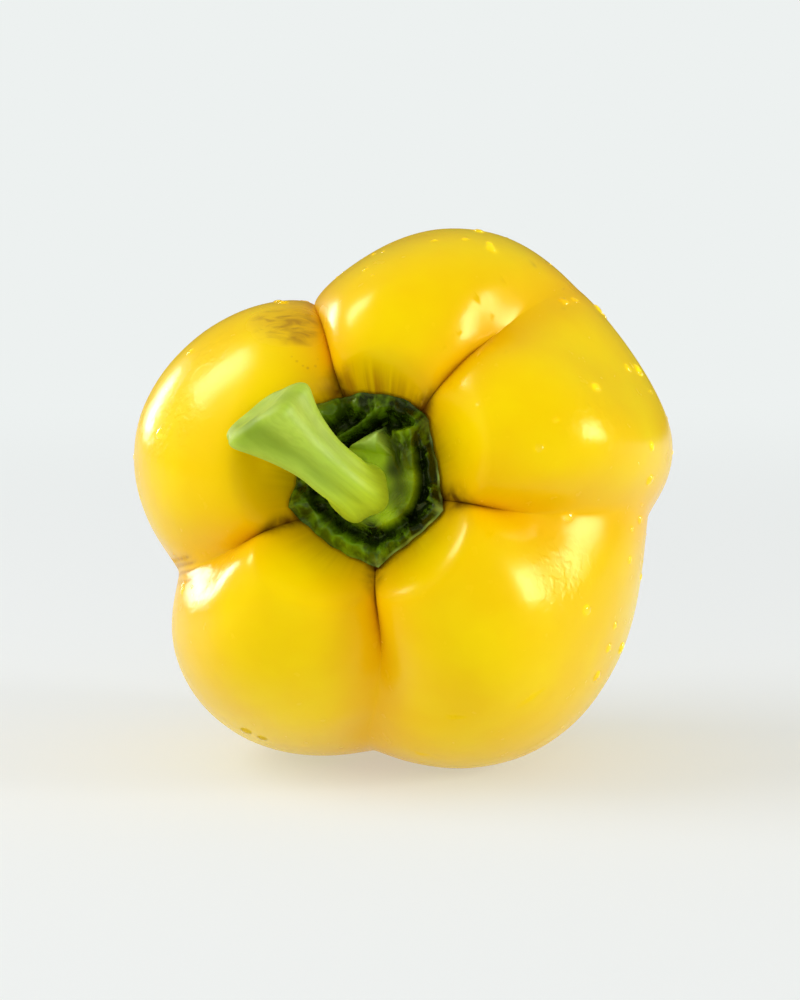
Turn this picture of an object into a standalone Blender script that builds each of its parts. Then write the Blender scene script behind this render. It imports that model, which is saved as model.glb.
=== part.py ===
"""A yellow bell pepper as picked, lying on its side with its stem end towards -Y.

Three pieces: the lobed fruit, the five-cornered calyx that sits in the stem basin, and the bent, cut stem.
Each is modelled upright, with the stem end at +Z, and one empty lays all three down together.
Lengths are in metres and angles in degrees, counterclockwise as seen from the stem end.
"""

import math

import bmesh
import bpy
from mathutils import Matrix, Vector
from mathutils.bvhtree import BVHTree

# Core of the fruit: the skin as it runs along the furrows
STEM_HALF = 0.0380  # from the widest ring up to the shoulder
BLOSSOM_HALF = 0.0420  # from the widest ring down to the blossom end
STEM_ROUNDNESS = 0.74  # 1 would be an ellipse, less is blockier
BLOSSOM_ROUNDNESS = 0.66
TAPER = 0.17  # share of the radius lost at the blossom end
TAPER_START = 0.010
TAPER_STOP = -0.045
AXIS_SHIFT = (0.0017, -0.0002)  # the widest ring is a little off the stem's axis
BASIN_DEPTH = 0.0090
BASIN_RADIUS = 0.0150
BASIN_STEEPNESS = 5.0
DIMPLE_DEPTH = 0.0090
DIMPLE_RADIUS = 0.0140

# Furrows: angle at the calyx and on the side, core radius, polar angle to which the crease
# stays sharp, and how wide the valley is that it opens into
FURROWS = (
    {"at_calyx": 349.0, "on_side": 358.0, "radius": 0.0424, "reach": 0.60, "valley": 2.2},
    {"at_calyx": 52.0, "on_side": 51.6, "radius": 0.0474, "reach": 0.86, "valley": 1.45},
    {"at_calyx": 107.0, "on_side": 115.6, "radius": 0.0367, "reach": 1.30, "valley": 0.81},
    {"at_calyx": 208.5, "on_side": 199.7, "radius": 0.0414, "reach": 0.56, "valley": 1.4},
    {"at_calyx": 279.0, "on_side": 264.8, "radius": 0.0430, "reach": 0.60, "valley": 1.5},
)
# Lobes: each swells out between its furrow and the next one round; a lobe can lean one way
# near the calyx and another on its side
LOBES = (
    {"shoulder": 0.0095, "side": 0.0036, "belly": 0.0, "end": 0.0072, "top_lean": 0.29, "lean": 0.55},
    {"shoulder": 0.0080, "side": 0.0043, "belly": 0.0, "end": 0.0075, "top_lean": -0.17, "lean": -0.09},
    {"shoulder": 0.0072, "side": 0.0080, "belly": -0.0012, "end": 0.0060, "top_lean": -0.14, "lean": -0.03},
    {"shoulder": 0.0101, "side": 0.0067, "belly": 0.0032, "end": 0.0070, "top_lean": 0.16, "lean": 0.11},
    {"shoulder": 0.0102, "side": 0.0049, "belly": 0.0002, "end": 0.0078, "top_lean": 0.09, "lean": 0.20},
)
CREASE_SHARPNESS = 0.56  # near the calyx; 0.5 would be a round lobe that meets the next in a cleft
SHOULDER_AT = 0.55  # polar angles, in radians, of the two rings where the lobes stand highest
BELLY_AT = 2.0
END_AT = 2.62
SWELL_WIDTH = 0.5
BELLY_WIDTH = 0.35
BACK_VALLEY = 1.5  # valley width on the blossom half, and again at its end
BACK_LEAN = 0.08
END_VALLEY = 0.85
WAVE_HEIGHT = 0.0004  # the skin is nowhere a perfect surface
FRUIT_COLUMNS = 20  # in each lobe
FRUIT_ROWS = 46
ROW_CROWDING = 1.3  # above 1 sets the rows closer at the stem end

# How it lies
LIE_TILT = 12.5
FLAT_DEPTH = 0.0005  # the skin is pressed flat by this much where it rests

# Calyx
CALYX_AT = (0.0012, 0.0)
MOUND_AT = (0.0020, 0.0001)
MOUND_RADIUS = 0.0082
MOUND_WIDTH = 0.90  # as a share of its length up the face
MOUND_SLOPE = 0.15  # share of its radius over which its flank falls, on each side of the rim
CORNERS = (
    {"angle": 340.0, "reach": 0.0132},
    {"angle": 47.0, "reach": 0.0139},
    {"angle": 129.0, "reach": 0.0156},
    {"angle": 198.0, "reach": 0.0144},
    {"angle": 278.0, "reach": 0.0143},
)
SIDE_REACHES = (0.0110, 0.0144, 0.0126, 0.0124, 0.0117)  # middle of the edge after each corner
CALYX_COLUMNS = 12  # in each side
CALYX_TOP_ROWS = 17
CALYX_ROWS = 23
CALYX_GAP = 0.0004  # clear of the fruit
EDGE_THICKNESS = 0.0006
FLOOR_THICKNESS = 0.0012  # on top of the edge's, inside the lip
MOUND_HEIGHT = 0.0050
KNOB_AT = (0.0019, 0.0065)  # a blunt peak on the upper part of the mound
KNOB_HEIGHT = 0.0036
KNOB_RADIUS = 0.0032
KNOB_BLUNTNESS = 0.7  # 1 would be a plain cone
FOLD_FROM = (-0.0038, 0.0068)  # a fold of leaf above the knob
FOLD_TO = (0.0025, 0.0116)
FOLD_HEIGHT = 0.0022
FOLD_WIDTH = 0.0010
FOLD_FADE = 0.25  # share of half its length over which each end runs out
LIP_HEIGHT = 0.0022
LIP_AT = 0.88  # as a share of the calyx's reach
LIP_WIDTH = 0.11
RIB_HEIGHT = 0.0014
RIB_AT = 0.72
RIB_WIDTH = 0.28  # as a share of half a side
WRINKLE = 0.00035
WRINKLES = (17.0, 29.0)  # round the whole calyx

# Stem: a straight foot, one bend, and a straight run that flares to the cut
FOOT_AT = (-0.0004, -0.0018)
FOOT_LENGTH = 0.0015
BEND_RADIUS = 0.0065
BEND_ANGLE = 66.0
BEND_HEADING = 141.0
RUN_LENGTH = 0.0156
FOOT_RADIUS = 0.0050
WAIST_RADIUS = 0.0042
CUT_RADIUS = 0.0085
FLARE_FROM = 0.45
STEM_RIDGES = 5
RIDGE_SHARE = 0.07
RIDGE_TURN = -2.37
RIM_LENGTH = 0.0030  # the cut end has dried to a round rim
RIM_SHARE = 0.55  # of the radius, where the rim meets the flat of the cut
RIM_RINGS = 5
RIM_FULLNESS = 0.8
CUT_SLANT = 0.22  # the cut is not square to the stem
STEM_SIDES = 30
STEM_STATIONS = 22
STEM_GAP = 0.0003

DOWN = Vector((0.0, 0.0, -1.0))
ABOVE = 0.1  # higher than any of the three pieces

FRUIT_YELLOW = (0.87, 0.57, 0.002, 1.0)
CALYX_GREEN = (0.03, 0.09, 0.01, 1.0)
STEM_GREEN = (0.40, 0.58, 0.10, 1.0)


def smooth(low, high, value):
    """0 below low, 1 above high, and a smooth step between them."""
    share = min(max((value - low) / (high - low), 0.0), 1.0)
    return share * share * (3.0 - 2.0 * share)


def bump(centre, width, value):
    return math.exp(-(((value - centre) / width) ** 2))


def mix(first, second, share):
    return first + (second - first) * share


def furrow_angle(furrow, polar):
    return mix(furrow["at_calyx"], furrow["on_side"], smooth(0.25, 1.5, polar))


def lobe_swelling(lobe, left, right, polar, across):
    """How far a lobe stands out of the core, at a polar angle and a place across it from -1 to 1."""
    height = lobe["side"]
    height += (lobe["shoulder"] - lobe["side"]) * bump(SHOULDER_AT, SWELL_WIDTH, polar)
    height += (lobe["end"] - lobe["side"]) * bump(END_AT, SWELL_WIDTH, polar)
    height += lobe["belly"] * bump(BELLY_AT, BELLY_WIDTH, polar)
    height *= smooth(0.12, 0.36, polar) * smooth(0.05, 0.5, math.pi - polar)
    share = (across + 1.0) / 2.0
    reach = mix(left["reach"], right["reach"], share)
    valley = mix(left["valley"], right["valley"], share)
    width = mix(CREASE_SHARPNESS, valley, smooth(0.45 * reach, 1.35 * reach, polar))
    width = mix(width, max(valley, BACK_VALLEY), smooth(1.5, 2.1, polar))
    width = mix(width, END_VALLEY, smooth(2.2, 2.8, polar))
    lean = mix(lobe["lean"], BACK_LEAN, smooth(1.4, 2.2, polar))
    lean = mix(lobe["top_lean"], lean, smooth(0.5, 1.3, polar))
    leaned = across + lean * (1.0 - across**2)
    return height * max(1.0 - leaned**2, 0.0) ** width


def skin_point(polar, lobe_index, across):
    """A point of the fruit's skin, at a polar angle from the stem end and a place across a lobe."""
    left = FURROWS[lobe_index]
    right = FURROWS[(lobe_index + 1) % len(FURROWS)]
    start = furrow_angle(left, polar)
    stop = furrow_angle(right, polar)
    while stop < start:
        stop += 360.0
    if stop - start > 360.0:
        stop -= 360.0
    around = math.radians(mix(start, stop, (across + 1.0) / 2.0))

    sine = max(math.sin(polar), 0.0)
    cosine = math.cos(polar)
    ease = (1.0 - math.cos(math.pi * (across + 1.0) / 2.0)) / 2.0
    roundness = STEM_ROUNDNESS if cosine > 0.0 else BLOSSOM_ROUNDNESS
    half = STEM_HALF if cosine > 0.0 else BLOSSOM_HALF
    radius = mix(left["radius"], right["radius"], ease) * sine**roundness
    height = math.copysign(half * abs(cosine) ** roundness, cosine)
    radius *= 1.0 - TAPER * smooth(-TAPER_START, -TAPER_STOP, -height)
    if cosine > 0.0:
        height -= BASIN_DEPTH * math.exp(-((radius / BASIN_RADIUS) ** BASIN_STEEPNESS))
    else:
        height += DIMPLE_DEPTH * math.exp(-((radius / DIMPLE_RADIUS) ** 2))

    swelling = lobe_swelling(LOBES[lobe_index], left, right, polar, across)
    waves = math.sin(2.0 * around + 3.0 * polar) + 0.7 * math.sin(5.0 * around - 4.0 * polar)
    swelling += WAVE_HEIGHT * waves * sine**2
    radius += swelling * sine
    return Vector(
        (
            radius * math.cos(around) + AXIS_SHIFT[0] * sine**2,
            radius * math.sin(around) + AXIS_SHIFT[1] * sine**2,
            height + swelling * cosine,
        )
    )


def sphere_grid(columns, rows):
    """A unit sphere, with the row and column of each of its points."""
    ball = bmesh.new()
    bmesh.ops.create_uvsphere(ball, u_segments=columns, v_segments=rows, radius=1.0)
    places = []
    for vert in ball.verts:
        row = round(math.acos(max(-1.0, min(1.0, vert.co.z))) / math.pi * rows)
        column = round(math.atan2(vert.co.y, vert.co.x) / math.tau * columns) % columns
        places.append((vert, row, column))
    return ball, places


def across_of(step, steps):
    """Places across a lobe, closer together by the furrows."""
    return -math.cos(math.pi * step / steps)


def fruit_mesh(lay):
    """The skin, pressed flat where it rests once lay has laid it down, and the floor's height then."""
    skin, places = sphere_grid(FRUIT_COLUMNS * len(LOBES), FRUIT_ROWS)
    for vert, row, column in places:
        lobe_index, step = divmod(column, FRUIT_COLUMNS)
        polar = math.pi * (row / FRUIT_ROWS) ** ROW_CROWDING
        vert.co = skin_point(polar, lobe_index, across_of(step, FRUIT_COLUMNS))
    floor = min((lay @ vert.co).z for vert in skin.verts) + FLAT_DEPTH
    for vert in skin.verts:
        laid = lay @ vert.co
        if laid.z < floor:
            vert.co = lay.inverted() @ Vector((laid.x, laid.y, floor))
    return skin, floor


def calyx_edge(side, across):
    """Angle and reach of the calyx's outline, at a place from -1 to 1 along one of its five sides."""
    left = CORNERS[side]
    right = CORNERS[(side + 1) % len(CORNERS)]
    share = (across + 1.0) / 2.0
    stop = right["angle"] + (360.0 if right["angle"] < left["angle"] else 0.0)
    corner = mix(left["reach"], right["reach"], share)
    return mix(left["angle"], stop, share), mix(SIDE_REACHES[side], corner, abs(across) ** 2.6)


def calyx_relief(share, across, angle, x, y):
    """Height of the calyx's upper face over its underside, at a share of its reach."""
    from_mound = math.hypot((x - MOUND_AT[0]) / MOUND_WIDTH, y - MOUND_AT[1])
    from_knob = math.hypot(x - KNOB_AT[0], y - KNOB_AT[1])
    height = FLOOR_THICKNESS
    height += MOUND_HEIGHT * (1.0 - smooth(1.0 - MOUND_SLOPE, 1.0 + MOUND_SLOPE, from_mound / MOUND_RADIUS))
    height += KNOB_HEIGHT * max(0.0, 1.0 - from_knob / KNOB_RADIUS) ** KNOB_BLUNTNESS
    fold_start = Vector(FOLD_FROM)
    fold_way = Vector(FOLD_TO) - fold_start
    from_start = Vector((x, y)) - fold_start
    along_fold = from_start.dot(fold_way) / fold_way.length_squared
    off_fold = fold_way.normalized().cross(from_start)
    within_fold = 1.0 - smooth(1.0 - FOLD_FADE, 1.0 + FOLD_FADE, abs(2.0 * along_fold - 1.0))
    height += FOLD_HEIGHT * within_fold * bump(0.0, FOLD_WIDTH, off_fold)
    height += LIP_HEIGHT * bump(LIP_AT, LIP_WIDTH, share)
    height += RIB_HEIGHT * bump(1.0, RIB_WIDTH, abs(across)) * bump(RIB_AT, 0.16, share)
    around = math.radians(angle)
    creases = math.sin(WRINKLES[0] * around + 5.0 * share) + 0.6 * math.sin(WRINKLES[1] * around)
    height += WRINKLE * creases * smooth(0.45, 0.7, share)
    return height * (1.0 - share**10)


def calyx_mesh(fruit_tree):
    """The calyx, whose underside lies on the fruit's skin with a small gap."""
    calyx, places = sphere_grid(CALYX_COLUMNS * len(CORNERS), CALYX_ROWS)
    for vert, row, column in places:
        side, step = divmod(column, CALYX_COLUMNS)
        across = 2.0 * step / CALYX_COLUMNS - 1.0
        angle, reach = calyx_edge(side, across)
        on_top = row <= CALYX_TOP_ROWS
        if on_top:
            share = row / CALYX_TOP_ROWS
        else:
            share = (CALYX_ROWS - row) / (CALYX_ROWS - CALYX_TOP_ROWS)
        x = CALYX_AT[0] + reach * share * math.cos(math.radians(angle))
        y = CALYX_AT[1] + reach * share * math.sin(math.radians(angle))
        skin_under = fruit_tree.ray_cast(Vector((x, y, ABOVE)), DOWN)[0]
        height = skin_under.z + CALYX_GAP
        if on_top:
            height += calyx_relief(share, across, angle, x, y) + EDGE_THICKNESS
        vert.co = Vector((x, y, height))
    return calyx


def stem_station(travel):
    """How far out and up the stem's centre is after a distance along it, and how far it has turned."""
    bend = math.radians(BEND_ANGLE)
    bend_length = BEND_RADIUS * bend
    turned = min(max((travel - FOOT_LENGTH) / BEND_RADIUS, 0.0), bend)
    out = BEND_RADIUS * (1.0 - math.cos(turned))
    up = min(travel, FOOT_LENGTH) + BEND_RADIUS * math.sin(turned)
    past = max(travel - FOOT_LENGTH - bend_length, 0.0)
    out += past * math.sin(turned)
    up += past * math.cos(turned)
    return out, up, turned


def stem_radius(share):
    """The stem narrows from its foot to a waist and flares again to the cut."""
    foot = (FOOT_RADIUS - WAIST_RADIUS) * (1.0 - smooth(0.0, 0.22, share))
    flare = (CUT_RADIUS - WAIST_RADIUS) * max(0.0, (share - FLARE_FROM) / (1.0 - FLARE_FROM)) ** 1.5
    return WAIST_RADIUS + foot + flare


def stem_mesh(foot_height):
    """The stem, standing on the calyx's mound: rings drawn along its path, closed at both ends."""
    stem = bmesh.new()
    length = FOOT_LENGTH + BEND_RADIUS * math.radians(BEND_ANGLE) + RUN_LENGTH
    heading = math.radians(BEND_HEADING)
    out_way = Vector((math.cos(heading), math.sin(heading), 0.0))
    up_way = Vector((0.0, 0.0, 1.0))
    side_way = up_way.cross(out_way)
    foot = Vector((FOOT_AT[0], FOOT_AT[1], foot_height))

    ring = bmesh.ops.create_circle(stem, segments=STEM_SIDES, radius=1.0)["verts"]
    angles = [math.atan2(vert.co.y, vert.co.x) for vert in ring]

    def place(verts, travel, scale):
        out, up, turned = stem_station(travel)
        centre = foot + out_way * out + up_way * up
        inward = out_way * math.cos(turned) - up_way * math.sin(turned)
        onward = out_way * math.sin(turned) + up_way * math.cos(turned)
        slant = CUT_SLANT * smooth(FLARE_FROM, 1.0, travel / length)
        for vert, angle in zip(verts, angles):
            ridged = 1.0 + RIDGE_SHARE * math.cos(STEM_RIDGES * angle + RIDGE_TURN)
            radius = stem_radius(travel / length) * ridged * scale
            sideways = radius * math.sin(angle)
            vert.co = centre + inward * radius * math.cos(angle) + side_way * sideways
            vert.co += onward * slant * sideways

    def extrude(verts):
        rim = set(verts)
        edges = [edge for edge in stem.edges if rim.issuperset(edge.verts)]
        made = bmesh.ops.extrude_edge_only(stem, edges=edges)["geom"]
        fresh = [item for item in made if isinstance(item, bmesh.types.BMVert)]
        return [min(fresh, key=lambda new: (new.co - vert.co).length) for vert in verts]

    place(ring, 0.0, 1.0)
    bottom = list(ring)
    for station in range(1, STEM_STATIONS + 1):
        ring = extrude(ring)
        place(ring, (length - RIM_LENGTH) * station / STEM_STATIONS, 1.0)
    for step in range(1, RIM_RINGS + 1):
        turn = math.radians(90.0) * step / RIM_RINGS
        ring = extrude(ring)
        back = RIM_LENGTH * (1.0 - math.sin(turn) ** RIM_FULLNESS)
        place(ring, length - back, RIM_SHARE + (1.0 - RIM_SHARE) * math.cos(turn))
    bmesh.ops.contextual_create(stem, geom=ring)
    bmesh.ops.contextual_create(stem, geom=bottom)
    bmesh.ops.recalc_face_normals(stem, faces=stem.faces)
    return stem


def material(name, colour, roughness):
    made = bpy.data.materials.new(name)
    made.use_nodes = True
    shader = made.node_tree.nodes["Principled BSDF"]
    shader.inputs["Base Color"].default_value = colour
    shader.inputs["Roughness"].default_value = roughness
    shader.inputs["Metallic"].default_value = 0.0
    made.diffuse_color = colour
    return made


def add_piece(name, shape, finish, axis):
    mesh = bpy.data.meshes.new(name)
    shape.to_mesh(mesh)
    mesh.shade_smooth()
    mesh.materials.append(finish)
    piece = bpy.data.objects.new(name, mesh)
    bpy.context.scene.collection.objects.link(piece)
    piece.parent = axis
    return piece


def build():
    for old in list(bpy.data.objects):
        bpy.data.objects.remove(old)
    lay = Matrix.Rotation(math.radians(90.0 - LIE_TILT), 4, "X")
    axis = bpy.data.objects.new("pepper_axis", None)
    bpy.context.scene.collection.objects.link(axis)

    fruit, floor = fruit_mesh(lay)
    calyx = calyx_mesh(BVHTree.FromBMesh(fruit))
    over_foot = Vector((FOOT_AT[0], FOOT_AT[1], ABOVE))
    foot = BVHTree.FromBMesh(calyx).ray_cast(over_foot, DOWN)[0]
    stem = stem_mesh(foot.z + STEM_GAP)
    shapes = {"fruit": fruit, "calyx": calyx, "stem": stem}
    finishes = {
        "fruit": material("waxy_yellow_skin", FRUIT_YELLOW, 0.25),
        "calyx": material("glossy_dark_green_calyx", CALYX_GREEN, 0.30),
        "stem": material("satin_light_green_stem", STEM_GREEN, 0.45),
    }
    laid = [lay @ vert.co for shape in shapes.values() for vert in shape.verts]
    middle = []
    for way in range(2):
        reached = [point[way] for point in laid]
        middle.append((min(reached) + max(reached)) / 2.0)
    for name, shape in shapes.items():
        add_piece(name, shape, finishes[name], axis)
        shape.free()
    axis.matrix_world = Matrix.Translation((-middle[0], -middle[1], -floor)) @ lay


build()
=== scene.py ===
import math
import random

import bmesh
import bpy
from mathutils import Matrix, Vector, noise
from mathutils.bvhtree import BVHTree


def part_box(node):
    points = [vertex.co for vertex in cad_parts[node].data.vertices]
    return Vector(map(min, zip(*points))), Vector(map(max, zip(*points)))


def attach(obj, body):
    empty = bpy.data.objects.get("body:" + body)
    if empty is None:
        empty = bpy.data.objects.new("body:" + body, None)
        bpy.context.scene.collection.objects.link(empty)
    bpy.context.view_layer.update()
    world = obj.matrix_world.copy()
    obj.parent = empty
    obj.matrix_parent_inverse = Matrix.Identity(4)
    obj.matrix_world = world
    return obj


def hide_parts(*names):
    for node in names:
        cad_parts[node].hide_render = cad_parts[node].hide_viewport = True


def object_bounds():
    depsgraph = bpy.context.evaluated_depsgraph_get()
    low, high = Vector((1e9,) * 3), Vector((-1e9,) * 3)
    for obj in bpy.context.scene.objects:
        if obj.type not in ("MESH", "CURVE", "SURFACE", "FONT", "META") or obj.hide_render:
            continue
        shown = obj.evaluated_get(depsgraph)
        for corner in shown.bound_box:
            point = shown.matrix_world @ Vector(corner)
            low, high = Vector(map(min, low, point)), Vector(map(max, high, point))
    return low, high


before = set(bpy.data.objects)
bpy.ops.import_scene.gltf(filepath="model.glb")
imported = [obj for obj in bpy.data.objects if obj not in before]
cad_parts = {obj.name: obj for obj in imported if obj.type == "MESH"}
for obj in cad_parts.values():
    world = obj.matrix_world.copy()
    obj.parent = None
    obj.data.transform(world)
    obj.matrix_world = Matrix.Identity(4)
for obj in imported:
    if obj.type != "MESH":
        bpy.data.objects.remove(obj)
cadLow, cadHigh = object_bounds()
print("frame loaded")

downwards = Vector((0.0, 0.0, -1.0))


def smooth(low, high, value):
    share = min(max((value - low) / (high - low), 0.0), 1.0)
    return share * share * (3.0 - 2.0 * share)


def bump(centre, width, value):
    return math.exp(-(((value - centre) / width) ** 2))


def mix(first, second, share):
    return first + (second - first) * share


def sphereGrid(columns, rows):
    # a unit sphere with the row and column of each point, ready to be shaped
    ball = bmesh.new()
    bmesh.ops.create_uvsphere(ball, u_segments=columns, v_segments=rows, radius=1.0)
    places = []
    for vert in ball.verts:
        row = round(math.acos(max(-1.0, min(1.0, vert.co.z))) / math.pi * rows)
        column = round(math.atan2(vert.co.y, vert.co.x) / math.tau * columns) % columns
        places.append((vert, row, column))
    return ball, places


def addPiece(name, shape, finish, traits):
    # traits are the float attributes that the piece's material reads, a value for each point
    mesh = bpy.data.meshes.new(name)
    shape.to_mesh(mesh)
    mesh.shade_smooth()
    mesh.materials.append(finish)
    for trait, values in traits.items():
        kind = "FLOAT_VECTOR" if isinstance(values[0], Vector) else "FLOAT"
        layer = mesh.attributes.new(trait, kind, "POINT")
        if kind == "FLOAT":
            layer.data.foreach_set("value", values)
        else:
            layer.data.foreach_set("vector", [part for value in values for part in value])
    piece = bpy.data.objects.new(name, mesh)
    bpy.context.scene.collection.objects.link(piece)
    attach(piece, "root")
    return piece


def linear(code):
    # sRGB hex to the linear colour that sockets take
    channels = [int(code[at : at + 2], 16) / 255.0 for at in (1, 3, 5)]
    return tuple(c / 12.92 if c <= 0.04045 else ((c + 0.055) / 1.055) ** 2.4 for c in channels) + (1.0,)


def addNode(tree, kind, settings=None, links=None):
    # settings are the node's own values or else its inputs'; a node that is linked gives its first output
    node = tree.nodes.new("ShaderNode" + kind)
    for key, value in (settings or {}).items():
        if isinstance(key, str) and hasattr(node, key):
            setattr(node, key, value)
        else:
            node.inputs[key].default_value = value
    for key, source in (links or {}).items():
        tree.links.new(getattr(source, "outputs", (source,))[0], node.inputs[key])
    return node


def startFinish(name, sockets, traits):
    # a new material: its node tree, its shader with these values, and the attributes that it reads
    finish = bpy.data.materials.new(name)
    finish.use_nodes = True
    tree = finish.node_tree
    shader = tree.nodes["Principled BSDF"]
    for key, value in sockets.items():
        shader.inputs[key].default_value = linear(value) if isinstance(value, str) else value
    trait = {}
    for key in traits:
        trait[key] = addNode(tree, "Attribute", {"attribute_name": key}).outputs["Fac"]
    return finish, tree, shader, trait


def paintOver(tree, colour, look, layers):
    # each layer of the look lies over the ones before it, as strongly as its share
    for share, name in layers:
        over = addNode(tree, "Mix", {"data_type": "RGBA", 7: linear(look[name])}, {0: share, 6: colour})
        colour = over.outputs[2]
    return colour


# Camera: where the photograph was taken from
shot = {
    "width": 800,
    "height": 1000,
    "azimuth": 10.4,  # degrees round to the pepper's right
    "elevation": 6.5,
    "distance": 0.55,
    "lens": 114.05,
    "sensor": 36.0,  # along the long side
    "aimRight": -0.00016,
    "aimUp": 0.00068,
}


def backward(azimuth, elevation):
    # from the object towards something at that azimuth and elevation
    turn = math.radians(azimuth)
    up = math.radians(elevation)
    return Vector((math.sin(turn) * math.cos(up), -math.cos(turn) * math.cos(up), math.sin(up)))


# The fruit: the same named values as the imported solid, lying the same way
fruit = {
    "stemHalf": 0.0380,
    "blossomHalf": 0.0420,
    "stemRoundness": 0.74,
    "blossomRoundness": 0.66,
    "taper": 0.17,
    "taperStart": 0.010,
    "taperStop": -0.045,
    "axisShift": (0.0017, -0.0002),
    "basinDepth": 0.0090,
    "basinRadius": 0.0150,
    "basinSteepness": 5.0,
    "dimpleDepth": 0.0090,
    "dimpleRadius": 0.0140,
    "furrows": (
        {
            "atCalyx": 349.0, "onSide": 358.0, "radius": 0.0424, "reach": 0.60, "valley": 1.8,
            "lineTo": 0.56, "mouth": 0.0020, "dip": 0.0004,
        },
        {
            "atCalyx": 52.0, "onSide": 51.6, "radius": 0.0474, "reach": 0.86, "valley": 1.45,
            "lineTo": 0.60, "mouth": 0.0015, "dip": 0.0015,
        },
        {
            "atCalyx": 107.0, "onSide": 115.6, "radius": 0.0367, "reach": 1.30, "valley": 0.81,
            "lineTo": 1.25, "mouth": 0.0017, "dip": 0.0,
        },
        {
            "atCalyx": 208.5, "onSide": 199.7, "radius": 0.0414, "reach": 0.56, "valley": 1.4,
            "lineTo": 0.80, "mouth": 0.0010, "dip": 0.0006,
        },
        {
            "atCalyx": 279.0, "onSide": 264.8, "radius": 0.0430, "reach": 0.68, "valley": 1.3,
            "lineTo": 0.58, "mouth": 0.0013, "dip": 0.0016,
        },
    ),
    "lobes": (
        {"shoulder": 0.0095, "side": 0.0036, "belly": 0.0, "end": 0.0072, "topLean": 0.29, "lean": 0.55},
        {"shoulder": 0.0080, "side": 0.0043, "belly": 0.0, "end": 0.0075, "topLean": -0.17, "lean": -0.09},
        {"shoulder": 0.0072, "side": 0.008, "belly": -0.0012, "end": 0.0060, "topLean": -0.14, "lean": -0.03},
        {"shoulder": 0.0101, "side": 0.0067, "belly": 0.0032, "end": 0.0070, "topLean": 0.16, "lean": 0.11},
        {"shoulder": 0.0102, "side": 0.0049, "belly": 0.0002, "end": 0.0078, "topLean": 0.09, "lean": 0.20},
    ),
    "creaseSharpness": 0.56,
    "shoulderAt": 0.55,
    "bellyAt": 2.0,
    "endAt": 2.62,
    "swellWidth": 0.5,
    "bellyWidth": 0.35,
    "backValley": 1.5,
    "backLean": 0.08,
    "endValley": 0.85,
    "waveHeight": 0.0004,
    "lieTilt": 12.5,
    # what only the visual piece has
    "columns": 62,  # in each lobe
    "rows": 216,
    "rowCrowding": 1.3,
    "dents": ((0.020, 0.00030), (0.0075, 0.00007)),  # size and height of the skin's unevenness
    "basinFolds": 0.00004,
    "wrinkles": (-0.0019, -0.0007, 0.0006, 0.0021),  # how far each is from the left furrow
    "wrinkleWidth": 0.00028,
    "wrinkleDepth": 0.00016,
    "mouthRim": (0.0150, 0.0215),  # a furrow's dark mouth, brown skin with painted shade, fades out from and to here
    "basinRim": (0.0135, 0.0172),  # and so do the brown streaks round the calyx
    "basinRimOverTop": (0.0022, 0.0032),  # which reach further over its top
    "creaseWidth": 0.0008,
    "valleyWidth": 0.0060,
    "dipWidth": 0.0050,  # a furrow's dip on the shoulder is wider and deeper than the solid's
}


def lobeSwelling(lobe, left, right, polar, across):
    height = lobe["side"]
    height += (lobe["shoulder"] - lobe["side"]) * bump(fruit["shoulderAt"], fruit["swellWidth"], polar)
    height += (lobe["end"] - lobe["side"]) * bump(fruit["endAt"], fruit["swellWidth"], polar)
    height += lobe["belly"] * bump(fruit["bellyAt"], fruit["bellyWidth"], polar)
    height *= smooth(0.12, 0.36, polar) * smooth(0.05, 0.5, math.pi - polar)
    share = (across + 1.0) / 2.0
    reach = mix(left["reach"], right["reach"], share)
    valley = mix(left["valley"], right["valley"], share)
    width = mix(fruit["creaseSharpness"], valley, smooth(0.45 * reach, 1.35 * reach, polar))
    width = mix(width, max(valley, fruit["backValley"]), smooth(1.5, 2.1, polar))
    width = mix(width, fruit["endValley"], smooth(2.2, 2.8, polar))
    lean = mix(lobe["lean"], fruit["backLean"], smooth(1.4, 2.2, polar))
    lean = mix(lobe["topLean"], lean, smooth(0.5, 1.3, polar))
    leaned = across + lean * (1.0 - across**2)
    return height * max(1.0 - leaned**2, 0.0) ** width


def furrowAngle(furrow, polar):
    return mix(furrow["atCalyx"], furrow["onSide"], smooth(0.25, 1.5, polar))


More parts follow.
